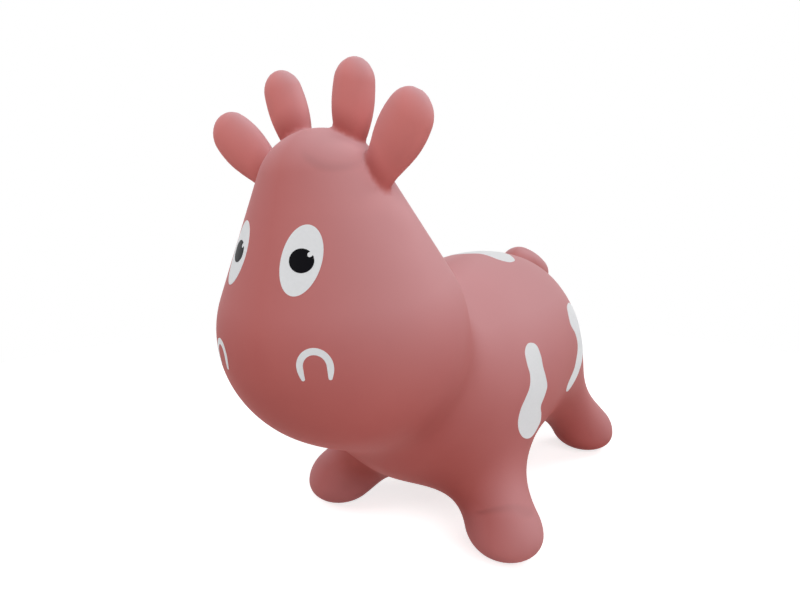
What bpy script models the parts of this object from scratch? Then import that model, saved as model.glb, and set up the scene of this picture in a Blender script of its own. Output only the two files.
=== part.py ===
"""Animal hopper: an inflatable calf for a child to sit on and bounce, moulded in soft vinyl.

Metres, +Z up. The calf faces -Y with its left side towards +X, and the origin is on the floor
under the middle of its box. Its skin is one hollow moulding, which is parted here at the neck
and round the legs. The tail, the two ears and the two horns sit on it, the printed marks lie
on it as thin films, and a stopper closes the air valve in the belly.
"""

import math

import bmesh
import bpy
from mathutils import Matrix, Vector
from mathutils.bvhtree import BVHTree

# Skin
WALL = 0.0025
GAP = 0.0003
FILLET_REACH = 0.056
FILLET_PASSES = 34
EVENING_PASSES = 3
EVENING_LOSS = 0.0016  # what the evening takes off the skin, which is put back

# Trunk, an egg along Y with its rear end raised
TRUNK_HALF_WIDTH = 0.1245
TRUNK_HALF_LENGTH = 0.2155
TRUNK_HALF_HEIGHT = 0.1225
TRUNK_TILT = math.radians(8.6)
TRUNK_Y = 0.039
BELLY_CLEARANCE = 0.044

# Head, a pear on an axis that leans forward, placed from the front end of the trunk
MUZZLE_RADIUS = 0.1026
CROWN_RADIUS = 0.0525
HEAD_LENGTH = 0.1134
HEAD_LEAN = math.radians(11.5)
HEAD_WIDEN = 1.04
HEAD_FORWARD = 0.022
HEAD_RISE = 0.074
NECK_DISTANCE = 0.092
NECK_ANGLE = math.radians(30)

# Legs: hips from the trunk's side, end and belly, feet from the hips
FRONT_HIP_INSET = 0.064
FRONT_HIP_FROM_END = 0.136
FRONT_HIP_RISE = 0.056
FRONT_HIP_RADIUS = 0.0490
FRONT_SPLAY = 0.044
FRONT_STRIDE = -0.037
FRONT_FOOT_RADIUS = 0.0366
REAR_HIP_INSET = 0.060
REAR_HIP_FROM_END = 0.118
REAR_HIP_RISE = 0.082
REAR_HIP_RADIUS = 0.0490
REAR_SPLAY = 0.035
REAR_STRIDE = 0.097
REAR_FOOT_RADIUS = 0.0382
FRONT_PART_RADIUS = 0.075
REAR_PART_RADIUS = 0.100
FOOT_FLAT = 0.005

# Tail, a stub on the rump
TAIL_ANGLE = math.radians(35.5)
TAIL_LIFT = 0.009
TAIL_LENGTH = 0.065
TAIL_DROOP = math.radians(14.5)
TAIL_RADIUS = 0.0224

# Ears and horns, clubs whose round roots sit in dimples of the crown
FLEX = math.radians(25)
FLEX_GAP = 0.0007
FLEX_LIFT = 0.0018  # how far a root stands up beyond what the flex of a plain club needs
AIR_RADIUS = 0.003
EAR_AROUND = math.radians(76)
EAR_LEAN = math.radians(35)
EAR_BACK = math.radians(-3)
EAR_ROOT_RADIUS = 0.0122
EAR_TIP_RADIUS = 0.0218
EAR_LENGTH = 0.046
EAR_FLATNESS = 0.55
HORN_AROUND = math.radians(31)
HORN_LEAN = math.radians(13)
HORN_BACK = math.radians(8)
HORN_ROOT_RADIUS = 0.0140
HORN_TIP_RADIUS = 0.0168
HORN_LENGTH = 0.029

# Printed marks
FILM = 0.0005
PRINT_DEPTH = 0.06
EYE_HEIGHT = 0.0785
EYE_TURN = math.radians(23.3)
EYE_HALF_WIDTH = 0.0161
EYE_HALF_HEIGHT = 0.0257
PUPIL_RADIUS = 0.0088
GLINT_RADIUS = 0.0019
GLINT_SIDE = 0.0056
GLINT_UP = 0.0045
NOSTRIL_HEIGHT = 0.0125
NOSTRIL_TURN = math.radians(27.1)
NOSTRIL_RADIUS = 0.0106
NOSTRIL_DROP = 0.009
NOSTRIL_STROKE = 0.0047
FLANK_FORWARD = 0.070
FLANK_LOW = 0.013
RUMP_BACK = 0.066
RUMP_HIGH = 0.017
SADDLE_BACK = 0.023
SADDLE_SIDE = 0.004

# Patch outlines: towards the tail and up, or for the saddle to the left and back
FLANK_PATCH = (
    (0.003, 0.052), (-0.012, 0.045), (-0.011, 0.022), (-0.025, -0.004),
    (-0.029, -0.025), (-0.009, -0.046), (0.015, -0.045), (0.023, -0.032),
    (0.017, -0.016), (0.022, 0.006), (0.012, 0.028), (0.013, 0.044),
)
RUMP_PATCH = (
    (0.000, 0.048), (-0.020, 0.027), (-0.008, 0.008), (-0.007, -0.009),
    (-0.022, -0.030), (-0.037, -0.048), (-0.018, -0.050), (0.006, -0.036),
    (0.022, -0.010), (0.020, 0.016), (0.015, 0.040),
)
SADDLE_PATCH = (
    (0.045, 0.010), (0.044, -0.009), (0.036, -0.017), (0.022, -0.013),
    (0.008, -0.017), (-0.010, -0.033), (-0.032, -0.036), (-0.045, -0.018),
    (-0.039, 0.004), (-0.018, 0.011), (-0.002, 0.029), (0.024, 0.035),
)

# Air valve in the belly, and its stopper
VALVE_RADIUS = 0.0085
VALVE_BORE = 0.0045
VALVE_RIM = 0.001
VALVE_DEPTH = 0.018
VALVE_FLANGE_RADIUS = 0.013
VALVE_FLANGE = 0.002
STOPPER_RADIUS = 0.0098
STOPPER_CAP = 0.0022
STOPPER_EDGE = 0.0008
STOPPER_LENGTH = 0.014
STOPPER_SHANK_CLEARANCE = 0.0007
STOPPER_RIB_CLEARANCE = 0.00025
STOPPER_RIB_STEP = 0.0042
STOPPER_RIB = 0.0008

# Facets
SKIN_FACET = 0.015
SKIN_FACETS = 0.42  # share of its facets that the skin keeps
HOLLOW_FACETS = 0.42  # share of the skin's facets that its hollow keeps
TRUNK_SEGMENTS = 48
TURN_STEPS = 40
ZONE_STEPS = 24
SMALL_STEPS = 18
DOME_POINTS = 12
CLUB_POINTS = 6
HOLLOW_POINTS = 5
PATCH_SEGMENTS = 3
MERGE = 0.00001
SPARE = 0.004  # how far a cutter runs past what it cuts

# sRGB colours from the object
ROSE_VINYL = (0.745, 0.455, 0.450)
WHITE_INK = (0.890, 0.890, 0.900)
BLACK_INK = (0.060, 0.058, 0.070)
CLEAR_ROSE = (0.800, 0.560, 0.550)
STOPPER_WHITE = (0.900, 0.890, 0.870)

FRONT = Vector((0, -1, 0))
UP = Vector((0, 0, 1))
LEFT = Vector((1, 0, 0))

belly_to_centre = math.hypot(
    TRUNK_HALF_LENGTH * math.sin(TRUNK_TILT), TRUNK_HALF_HEIGHT * math.cos(TRUNK_TILT)
)
TRUNK_CENTRE = Vector((0, TRUNK_Y, BELLY_CLEARANCE + belly_to_centre))
TRUNK_FRAME = Matrix.Translation(TRUNK_CENTRE) @ Matrix.Rotation(TRUNK_TILT, 4, "X")
FRONT_END = TRUNK_Y - TRUNK_HALF_LENGTH
REAR_END = TRUNK_Y + TRUNK_HALF_LENGTH
MUZZLE = Vector((0, FRONT_END - HEAD_FORWARD, TRUNK_CENTRE.z + HEAD_RISE))
HEAD_FRAME = Matrix.Translation(MUZZLE) @ Matrix.Rotation(HEAD_LEAN, 4, "X")
CROWN = HEAD_FRAME @ Vector((0, 0, HEAD_LENGTH))
TAIL_ALONG = Vector((0, math.cos(TAIL_DROOP), -math.sin(TAIL_DROOP)))
TAIL_ROOT = TRUNK_FRAME @ Vector(
    (
        0,
        (TRUNK_HALF_LENGTH + TAIL_LIFT) * math.cos(TAIL_ANGLE),
        (TRUNK_HALF_HEIGHT + TAIL_LIFT) * math.sin(TAIL_ANGLE),
    )
)
NOSE_Y = MUZZLE.y - MUZZLE_RADIUS
TAIL_END_Y = TAIL_ROOT.y + TAIL_LENGTH * TAIL_ALONG.y + TAIL_RADIUS
VALVE_SEAT = WALL + VALVE_FLANGE_RADIUS**2 * TRUNK_HALF_HEIGHT / (2 * TRUNK_HALF_WIDTH**2) + 2 * GAP


def clear_scene():
    for obj in list(bpy.data.objects):
        bpy.data.objects.remove(obj, do_unlink=True)


def new_collection(name):
    collection = bpy.data.collections.new(name)
    bpy.context.scene.collection.children.link(collection)
    return collection


def srgb_to_linear(value):
    if value <= 0.04045:
        return value / 12.92
    return ((value + 0.055) / 1.055) ** 2.4


def material(name, colour, roughness):
    made = bpy.data.materials.new(name)
    made.use_nodes = True
    shader = made.node_tree.nodes["Principled BSDF"]
    linear = [srgb_to_linear(value) for value in colour]
    shader.inputs["Base Color"].default_value = (*linear, 1)
    shader.inputs["Roughness"].default_value = roughness
    shader.inputs["Metallic"].default_value = 0
    return made


def spread(first, last, count):
    """count values from first to last, both included."""
    return [first + (last - first) * i / (count - 1) for i in range(count)]


def axes(origin, along, towards):
    """Matrix at origin whose Z runs along a direction and whose Y leans towards another."""
    z = Vector(along).normalized()
    x = Vector(towards).cross(z).normalized()
    return Matrix.Translation(origin) @ Matrix((x, z.cross(x), z)).transposed().to_4x4()


def baked(obj):
    """The object's evaluated shape as a mesh of its own, with its loose caps welded."""
    graph = bpy.context.evaluated_depsgraph_get()
    mesh = bpy.data.meshes.new_from_object(obj.evaluated_get(graph))
    shape = bmesh.new()
    shape.from_mesh(mesh)
    bmesh.ops.remove_doubles(shape, verts=shape.verts, dist=MERGE)
    bmesh.ops.recalc_face_normals(shape, faces=shape.faces)
    shape.to_mesh(mesh)
    shape.free()
    mesh.shade_smooth()
    return mesh


class Builder:
    """Keeps the two collections and the empty that carries every piece."""

    def __init__(self):
        self.parts = new_collection("animal_hopper")
        self.cutters = new_collection("animal_hopper_cutters")
        self.carrier = bpy.data.objects.new("hopper_origin", None)
        self.carrier.location.y = -(NOSE_Y + TAIL_END_Y) / 2
        self.parts.objects.link(self.carrier)

    def put(self, obj, frame, finish=None):
        """Places a piece with its finish, or a cutter when no finish is given."""
        collection = self.parts if finish else self.cutters
        collection.objects.link(obj)
        obj.parent = self.carrier
        obj.matrix_basis = frame
        if finish:
            obj.data.materials.append(finish)
        else:
            obj.hide_render = True
            obj.display_type = "WIRE"
        return obj


def mesh_object(name, mesh):
    return bpy.data.objects.new(name, mesh)


def ball(name, segments, size):
    """Ellipsoid with its poles along Y."""
    mesh = bpy.data.meshes.new(name)
    shape = bmesh.new()
    bmesh.ops.create_uvsphere(shape, u_segments=segments, v_segments=segments // 2, radius=1)
    bmesh.ops.rotate(shape, verts=shape.verts, matrix=Matrix.Rotation(math.pi / 2, 3, "X"))
    bmesh.ops.scale(shape, verts=shape.verts, vec=size)
    shape.to_mesh(mesh)
    shape.free()
    mesh.shade_smooth()
    return mesh_object(name, mesh)


def cylinder(name, radius, depth, segments, half_height=None):
    """Cylinder along Z, or an elliptical one when its half height along Y is given."""
    mesh = bpy.data.meshes.new(name)
    shape = bmesh.new()
    bmesh.ops.create_cone(
        shape, cap_ends=True, segments=segments, radius1=radius, radius2=radius, depth=depth
    )
    if half_height:
        bmesh.ops.scale(shape, verts=shape.verts, vec=(1, half_height / radius, 1))
    shape.to_mesh(mesh)
    shape.free()
    return mesh_object(name, mesh)


def block(name, size):
    """Cube whose top face is at its origin."""
    mesh = bpy.data.meshes.new(name)
    shape = bmesh.new()
    bmesh.ops.create_cube(shape, size=size)
    bmesh.ops.translate(shape, verts=shape.verts, vec=(0, 0, -size / 2))
    shape.to_mesh(mesh)
    shape.free()
    return mesh_object(name, mesh)


def turned(name, profile, steps, ring=False):
    """Solid turned about Z from a profile of (radius, height), which runs top to bottom."""
    edges = [(i, i + 1) for i in range(len(profile) - 1)]
    if ring:
        edges.append((len(profile) - 1, 0))
    mesh = bpy.data.meshes.new(name)
    mesh.from_pydata([(radius, 0, height) for radius, height in profile], edges, [])
    obj = mesh_object(name, mesh)
    screw = obj.modifiers.new("Turn", "SCREW")
    screw.steps = steps
    screw.render_steps = steps
    screw.use_merge_vertices = True
    screw.merge_threshold = MERGE
    return obj


def club(top, bottom, length, top_points, bottom_points, last=math.pi):
    """Profile of two balls on one axis with a straight flank between them, top to bottom."""
    tangent = math.acos((bottom - top) / length)
    upper = [
        (top * math.sin(angle), length + top * math.cos(angle))
        for angle in spread(0, tangent, top_points)
    ]
    lower = [
        (bottom * math.sin(angle), bottom * math.cos(angle))
        for angle in spread(tangent, last, bottom_points)
    ]
    return upper + lower


def piped_club(top, bottom, length, pipe, pipe_end, points):
    """Hollow of a club, with an air pipe that leaves through its root."""
    mouth = math.pi - math.asin(pipe / bottom)
    return club(top, bottom, length, points, points, mouth) + [(pipe, pipe_end), (0, pipe_end)]


def cut(obj, *cutters, operation="DIFFERENCE"):
    for cutter in cutters:
        boolean = obj.modifiers.new(f"{operation.title()} {cutter.name}", "BOOLEAN")
        boolean.operation = operation
        boolean.solver = "EXACT"
        boolean.object = cutter
    return obj


def outline_prism(name, points, smooth):
    """Prism along Z over a closed outline, straight or smooth between its points."""
    curve = bpy.data.curves.new(name, "CURVE")
    curve.dimensions = "2D"
    curve.fill_mode = "BOTH"
    curve.extrude = PRINT_DEPTH / 2
    curve.resolution_u = PATCH_SEGMENTS
    if smooth:
        spline = curve.splines.new("BEZIER")
        spline.bezier_points.add(len(points) - 1)
        for knot, point in zip(spline.bezier_points, points):
            knot.co = (*point, 0)
            knot.handle_left_type = "AUTO"
            knot.handle_right_type = "AUTO"
    else:
        spline = curve.splines.new("POLY")
        spline.points.add(len(points) - 1)
        for knot, point in zip(spline.points, points):
            knot.co = (*point, 0, 1)
    spline.use_cyclic_u = True
    guide = bpy.data.objects.new(name + "_guide", curve)
    bpy.context.scene.collection.objects.link(guide)
    obj = mesh_object(name, baked(guide))
    bpy.data.objects.remove(guide)
    return obj


# Skin


def leg_ends(side, splay, stride, foot, inset, hip_y, rise):
    hip = Vector((side * (TRUNK_HALF_WIDTH - inset), hip_y, BELLY_CLEARANCE + rise))
    sole = Vector((hip.x + side * splay, hip.y + stride, foot - FOOT_FLAT))
    return hip, sole


def leg_places():
    """Name, hip, foot centre, hip and foot radius of each leg, and how far it parts from the foot."""
    for side, word in ((1, "left"), (-1, "right")):
        hip, foot = leg_ends(
            side, FRONT_SPLAY, FRONT_STRIDE, FRONT_FOOT_RADIUS,
            FRONT_HIP_INSET, FRONT_END + FRONT_HIP_FROM_END, FRONT_HIP_RISE,
        )
        radii = FRONT_HIP_RADIUS, FRONT_FOOT_RADIUS, FRONT_PART_RADIUS
        yield f"front_{word}_leg", hip, foot, radii
        hip, foot = leg_ends(
            side, REAR_SPLAY, REAR_STRIDE, REAR_FOOT_RADIUS,
            REAR_HIP_INSET, REAR_END - REAR_HIP_FROM_END, REAR_HIP_RISE,
        )
        radii = REAR_HIP_RADIUS, REAR_FOOT_RADIUS, REAR_PART_RADIUS
        yield f"rear_{word}_leg", hip, foot, radii


def rough_forms(builder):
    """The plain forms that the skin is drawn over: trunk, head and four legs."""
    size = (TRUNK_HALF_WIDTH, TRUNK_HALF_LENGTH, TRUNK_HALF_HEIGHT)
    trunk = builder.put(ball("trunk_form", TRUNK_SEGMENTS, size), TRUNK_FRAME)
    profile = club(CROWN_RADIUS, MUZZLE_RADIUS, HEAD_LENGTH, DOME_POINTS, DOME_POINTS)
    wide = HEAD_FRAME @ Matrix.Diagonal((HEAD_WIDEN, 1, 1, 1))
    limbs = [builder.put(turned("head_form", profile, TURN_STEPS), wide)]
    for name, hip, foot, (hip_radius, foot_radius, _parting) in leg_places():
        profile = club(hip_radius, foot_radius, (hip - foot).length, DOME_POINTS, DOME_POINTS)
        form = turned(f"{name}_form", profile, TURN_STEPS)
        limbs.append(builder.put(form, axes(foot, hip - foot, FRONT)))
    return trunk, limbs


def closed_tree(obj):
    graph = bpy.context.evaluated_depsgraph_get()
    mesh = bpy.data.meshes.new_from_object(obj.evaluated_get(graph))
    mesh.transform(obj.matrix_basis)
    shape = bmesh.new()
    shape.from_mesh(mesh)
    tree = BVHTree.FromBMesh(shape)
    return tree, shape


def joined_mesh(objects):
    """One mesh that holds the shapes of all the objects."""
    whole = bmesh.new()
    graph = bpy.context.evaluated_depsgraph_get()
    for obj in objects:
        mesh = bpy.data.meshes.new_from_object(obj.evaluated_get(graph))
        mesh.transform(obj.matrix_basis)
        whole.from_mesh(mesh)
    mesh = bpy.data.meshes.new("skin_form")
    whole.to_mesh(mesh)
    whole.free()
    return mesh


def fillet_weight(point, trunk_tree, limb_trees):
    """1 in the crease between the trunk and a limb, falling to 0 a fillet's reach away."""
    off_trunk = trunk_tree.find_nearest(point)[3]
    off_limb = min(tree.find_nearest(point)[3] for tree in limb_trees)
    nearness = max(0, 1 - max(off_trunk, off_limb) / FILLET_REACH)
    return nearness * nearness * (3 - 2 * nearness)


def draw_skin(builder):
    """The outer surface of the moulding: the rough forms in one, with their creases filled."""
    trunk, limbs = rough_forms(builder)
    bpy.context.view_layer.update()
    skin = builder.put(mesh_object("skin_form", joined_mesh([trunk, *limbs])), Matrix())
    remesh = skin.modifiers.new("One surface", "REMESH")
    remesh.mode = "VOXEL"
    remesh.voxel_size = SKIN_FACET
    skin.data = baked(skin)
    skin.modifiers.clear()

    trunk_tree = closed_tree(trunk)[0]
    limb_trees = [closed_tree(limb)[0] for limb in limbs]
    crease = skin.vertex_groups.new(name="crease")
    for vertex in skin.data.vertices:
        weight = fillet_weight(vertex.co, trunk_tree, limb_trees)
        crease.add([vertex.index], weight, "REPLACE")
    fillet = skin.modifiers.new("Fillets", "SMOOTH")
    fillet.vertex_group = crease.name
    fillet.iterations = FILLET_PASSES
    evening = skin.modifiers.new("Even", "SMOOTH")
    evening.iterations = EVENING_PASSES
    swell = skin.modifiers.new("Swell", "DISPLACE")
    swell.strength = EVENING_LOSS
    swell.mid_level = 0
    fewer = skin.modifiers.new("Fewer facets", "DECIMATE")
    fewer.ratio = SKIN_FACETS
    fewer.use_symmetry = True
    fewer.symmetry_axis = "X"
    floor = builder.put(block("floor", 4 * TRUNK_HALF_LENGTH), Matrix())
    cut(skin, floor)
    skin.modifiers.new("Triangles", "TRIANGULATE")
    skin.data = baked(skin)
    skin.modifiers.clear()
    return skin


def skin_at(builder, skin, name, offset, facets=1):
    """The skin's surface moved out, or in when the offset is negative, as a cutter."""
    copy = builder.put(mesh_object(name, skin.data.copy()), Matrix())
    if facets < 1:
        copy.modifiers.new("Fewer facets", "DECIMATE").ratio = facets
    swell = copy.modifiers.new("Offset", "DISPLACE")
    swell.strength = offset
    swell.mid_level = 0
    return copy


def surface_point(skin_tree, start, direction):
    """Where a line from inside the skin comes out, and the skin's normal there."""
    place, normal = skin_tree.ray_cast(start, direction)[:2]
    return place, normal


# Ears and horns


def grip_axes(skin_tree, side, around, lean, back, root):
    """Root centre and frame of an ear or a horn, with its root raised so that it can flex."""
    towards = Vector((side * math.sin(around), 0, math.cos(around)))
    towards.rotate(Matrix.Rotation(-back, 3, "X"))
    outward = (HEAD_FRAME.to_3x3() @ towards).normalized()
    place = surface_point(skin_tree, CROWN, outward)[0]
    direction = Vector((side * math.sin(lean), 0, math.cos(lean)))
    direction.rotate(Matrix.Rotation(-back, 3, "X"))
    along = HEAD_FRAME.to_3x3() @ direction
    lift = root * math.sin(FLEX) + FLEX_LIFT
    return axes(place + outward * lift, along, -FRONT)


def flatten(obj, length, thin):
    """Thins a club along Y, from its round root to its flat tip."""
    obj.data = baked(obj)
    obj.modifiers.clear()
    for vertex in obj.data.vertices:
        share = min(max(vertex.co.z / length, 0), 1)
        vertex.co.y *= 1 - (1 - thin) * share * share * (3 - 2 * share)
    return obj


def make_grip(builder, finish, name, frame, root, tip, length, thin):
    """A hollow club, its hollow, and the ball and the cup that make its dimple in the head."""
    pipe_end = -(root + FLEX_GAP + WALL + SPARE)
    piece = turned(name, club(tip, root, length, CLUB_POINTS, CLUB_POINTS), SMALL_STEPS)
    profile = piped_club(tip - WALL, root - WALL, length, AIR_RADIUS, pipe_end, HOLLOW_POINTS)
    inside = turned(f"{name}_hollow", profile, SMALL_STEPS // 2)
    builder.put(piece, frame, finish)
    builder.put(inside, frame)
    if thin < 1:
        bpy.context.view_layer.update()
        flatten(piece, length, thin)
        flatten(inside, length, thin)
    dimple = ball(f"{name}_dimple", ZONE_STEPS, [root + FLEX_GAP] * 3)
    cup = ball(f"{name}_cup", ZONE_STEPS, [root + FLEX_GAP + WALL] * 3)
    builder.put(dimple, frame)
    builder.put(cup, frame)
    cut(piece, inside)
    return inside, dimple, cup


def make_grips(builder, finish, skin_tree):
    made = []
    for side, word in ((1, "left"), (-1, "right")):
        ear = grip_axes(skin_tree, side, EAR_AROUND, EAR_LEAN, EAR_BACK, EAR_ROOT_RADIUS)
        made.append(
            make_grip(
                builder, finish, f"{word}_ear", ear,
                EAR_ROOT_RADIUS, EAR_TIP_RADIUS, EAR_LENGTH, EAR_FLATNESS,
            )
        )
        horn = grip_axes(skin_tree, side, HORN_AROUND, HORN_LEAN, HORN_BACK, HORN_ROOT_RADIUS)
        made.append(
            make_grip(
                builder, finish, f"{word}_horn", horn,
                HORN_ROOT_RADIUS, HORN_TIP_RADIUS, HORN_LENGTH, 1,
            )
        )
    return made


# Parts of the skin


def make_tail(builder, finish, seat):
    frame = axes(TAIL_ROOT, TAIL_ALONG, UP)
    profile = club(TAIL_RADIUS, TAIL_RADIUS, TAIL_LENGTH, CLUB_POINTS, CLUB_POINTS)
    tail = builder.put(turned("tail", profile, SMALL_STEPS), frame, finish)
    inner = TAIL_RADIUS - WALL
    profile = club(inner, inner, TAIL_LENGTH, HOLLOW_POINTS, HOLLOW_POINTS)
    inside = builder.put(turned("tail_hollow", profile, SMALL_STEPS // 2), frame)
    cut(tail, seat, inside)
    return inside


def make_valve_hole(builder, frame):
    """Hole through the belly, with a flat seat inside for the valve's flange."""
    seat = GAP - VALVE_SEAT
    profile = [
        (0, SPARE),
        (VALVE_RADIUS + GAP, SPARE),
        (VALVE_RADIUS + GAP, seat),
        (VALVE_FLANGE_RADIUS + GAP, seat),
        (VALVE_FLANGE_RADIUS + GAP, -VALVE_DEPTH),
        (0, -VALVE_DEPTH),
    ]
    return builder.put(turned("valve_hole", profile, SMALL_STEPS), frame)


def make_skin_parts(builder, finish, skin, hollow, grips, tail_hollow, valve_hole):
    """Head, legs and trunk, parted by a plane at the neck and a ball round each foot."""
    back_down = Vector((0, math.cos(NECK_ANGLE), -math.sin(NECK_ANGLE)))
    neck = MUZZLE + back_down * NECK_DISTANCE
    size = 4 * TRUNK_HALF_LENGTH
    ahead = block("head_side", size)
    behind = block("trunk_side", size)
    builder.put(ahead, axes(neck + back_down * GAP / 2, back_down, UP))
    builder.put(behind, axes(neck - back_down * GAP / 2, -back_down, UP))

    trunk = builder.put(mesh_object("trunk", skin.data.copy()), Matrix(), finish)
    cut(trunk, ahead)
    for name, _hip, foot, (_hip_radius, _foot_radius, parting) in leg_places():
        around = Matrix.Translation(foot)
        zone = ball(f"{name}_zone", ZONE_STEPS, [parting] * 3)
        room = ball(f"{name}_room", ZONE_STEPS, [parting + GAP] * 3)
        builder.put(zone, around)
        builder.put(room, around)
        leg = builder.put(mesh_object(name, skin.data.copy()), Matrix(), finish)
        cut(leg, zone, operation="INTERSECT")
        cut(leg, hollow)
        cut(trunk, room)
    cut(trunk, hollow, tail_hollow, valve_hole)

    head = builder.put(mesh_object("head", skin.data.copy()), Matrix(), finish)
    cut(head, behind, hollow)
    for inside, dimple, _cup in grips:
        cut(head, dimple, inside)


# Printed marks


def put_print(builder, finish, obj, frame, under, over):
    """Thin film of an outline between two surfaces that follow the skin."""
    builder.put(obj, frame, finish)
    cut(obj, over, operation="INTERSECT")
    cut(obj, under)
    return obj


def face_frame(skin_tree, side, turn, height):
    """Frame on the face, at a height along the head's axis and a turn from its front."""
    start = HEAD_FRAME @ Vector((0, 0, height))
    direction = HEAD_FRAME.to_3x3() @ Vector((side * math.sin(turn), -math.cos(turn), 0))
    place, normal = surface_point(skin_tree, start, direction)
    return axes(place, normal, UP)


def arch_outline(radius, drop, stroke):
    """Inverted U with round ends, its bow about the origin."""
    half = stroke / 2
    outer = [(radius + half, angle) for angle in spread(0, math.pi, 13)]
    inner = [(radius - half, angle) for angle in spread(math.pi, 0, 9)]
    ends = spread(0, -math.pi, 6)
    points = [(r * math.cos(a), r * math.sin(a)) for r, a in outer]
    points += [(-radius - half * math.cos(a), half * math.sin(a) - drop) for a in ends]
    points += [(r * math.cos(a), r * math.sin(a)) for r, a in inner]
    points += [(radius - half * math.cos(a), half * math.sin(a) - drop) for a in ends]
    return points


def make_face(builder, white, black, skin_tree, levels):
    for side, word in ((1, "left"), (-1, "right")):
        eye = face_frame(skin_tree, side, EYE_TURN, EYE_HEIGHT)
        shape = cylinder(
            f"{word}_eye_white", EYE_HALF_WIDTH, PRINT_DEPTH, TURN_STEPS, EYE_HALF_HEIGHT
        )
        put_print(builder, white, shape, eye, levels[0], levels[1])
        shape = cylinder(f"{word}_pupil", PUPIL_RADIUS, PRINT_DEPTH, SMALL_STEPS)
        pupil = put_print(builder, black, shape, eye, levels[2], levels[3])
        glint = cylinder(f"{word}_glint", GLINT_RADIUS, 2 * PRINT_DEPTH, SMALL_STEPS // 2)
        builder.put(glint, eye @ Matrix.Translation((GLINT_SIDE, GLINT_UP, 0)))
        cut(pupil, glint)
        nostril = face_frame(skin_tree, side, NOSTRIL_TURN, NOSTRIL_HEIGHT)
        points = arch_outline(NOSTRIL_RADIUS, NOSTRIL_DROP, NOSTRIL_STROKE)
        shape = outline_prism(f"{word}_nostril", points, False)
        put_print(builder, white, shape, nostril, levels[0], levels[1])


def make_patches(builder, white, skin_tree, levels):
    for side, word in ((1, "left"), (-1, "right")):
        for name, outline, along, up in (
            ("flank_patch", FLANK_PATCH, -FLANK_FORWARD, -FLANK_LOW),
            ("rump_patch", RUMP_PATCH, RUMP_BACK, RUMP_HIGH),
        ):
            start = TRUNK_CENTRE + Vector((0, along, up))
            place, normal = surface_point(skin_tree, start, side * LEFT)
            sided = [(side * back, height) for back, height in outline]
            shape = outline_prism(f"{word}_{name}", sided, True)
            put_print(builder, white, shape, axes(place, normal, UP), levels[0], levels[1])
    start = TRUNK_CENTRE + Vector((SADDLE_SIDE, SADDLE_BACK, 0))
    place, normal = surface_point(skin_tree, start, UP)
    shape = outline_prism("saddle_patch", SADDLE_PATCH, True)
    put_print(builder, white, shape, axes(place, normal, -FRONT), levels[0], levels[1])


# Valve


def make_valve(builder, finish, frame):
    bottom = -VALVE_SEAT - VALVE_FLANGE
    profile = [
        (VALVE_BORE, VALVE_RIM),
        (VALVE_RADIUS, VALVE_RIM),
        (VALVE_RADIUS, -VALVE_SEAT),
        (VALVE_FLANGE_RADIUS, -VALVE_SEAT),
        (VALVE_FLANGE_RADIUS, bottom),
        (VALVE_RADIUS, bottom),
        (VALVE_RADIUS, -VALVE_DEPTH),
        (VALVE_BORE, -VALVE_DEPTH),
    ]
    builder.put(turned("valve", profile, SMALL_STEPS, ring=True), frame, finish)


def make_stopper(builder, finish, frame):
    """Push-in stopper: a cap that a fingernail lifts, and a shank with two sealing ribs."""
    seat = VALVE_RIM + GAP
    shank = VALVE_BORE - STOPPER_SHANK_CLEARANCE
    rib = VALVE_BORE - STOPPER_RIB_CLEARANCE
    profile = [
        (0, seat + STOPPER_CAP),
        (STOPPER_RADIUS - STOPPER_EDGE, seat + STOPPER_CAP),
        (STOPPER_RADIUS, seat + STOPPER_CAP - STOPPER_EDGE),
        (STOPPER_RADIUS, seat),
        (shank, seat),
    ]
    for count in (1, 2):
        height = seat - count * STOPPER_RIB_STEP
        profile += [(shank, height + STOPPER_RIB), (rib, height), (shank, height - STOPPER_RIB)]
    profile += [
        (shank, seat - STOPPER_LENGTH + STOPPER_EDGE),
        (shank - STOPPER_EDGE, seat - STOPPER_LENGTH),
        (0, seat - STOPPER_LENGTH),
    ]
    builder.put(turned("stopper", profile, SMALL_STEPS), frame, finish)


def main():
    clear_scene()
    rose = material("rose soft vinyl", ROSE_VINYL, 0.5)
    clear = material("clear rose vinyl", CLEAR_ROSE, 0.35)
    plug = material("white polyethylene", STOPPER_WHITE, 0.4)
    white = material("white ink", WHITE_INK, 0.45)
    black = material("black ink", BLACK_INK, 0.4)

    builder = Builder()
    skin = draw_skin(builder)
    skin_tree, skin_shape = closed_tree(skin)
    step = GAP + FILM
    heights = (GAP, step, GAP + step, 2 * step)
    levels = [
        skin_at(builder, skin, f"print_level_{i}", height) for i, height in enumerate(heights)
    ]
    hollow = skin_at(builder, skin, "skin_hollow", -WALL, HOLLOW_FACETS)

    grips = make_grips(builder, rose, skin_tree)
    for _inside, _dimple, cup in grips:
        cut(hollow, cup)
    tail_hollow = make_tail(builder, rose, levels[0])
    belly = surface_point(skin_tree, TRUNK_CENTRE, -UP)[0]
    valve_frame = axes(belly, -UP, FRONT)
    valve_hole = make_valve_hole(builder, valve_frame)
    make_skin_parts(builder, rose, skin, hollow, grips, tail_hollow, valve_hole)
    make_valve(builder, clear, valve_frame)
    make_stopper(builder, plug, valve_frame)
    make_face(builder, white, black, skin_tree, levels)
    make_patches(builder, white, skin_tree, levels)
    skin_shape.free()
    bpy.context.view_layer.update()


main()
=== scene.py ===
"""Looks of the animal hopper, an inflatable calf in soft vinyl.

The file is laid out as an add-on and run as a script. Each operator makes one group of pieces
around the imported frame, in metres, with the calf facing -Y and its left side towards +X.
"""

import math

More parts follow.
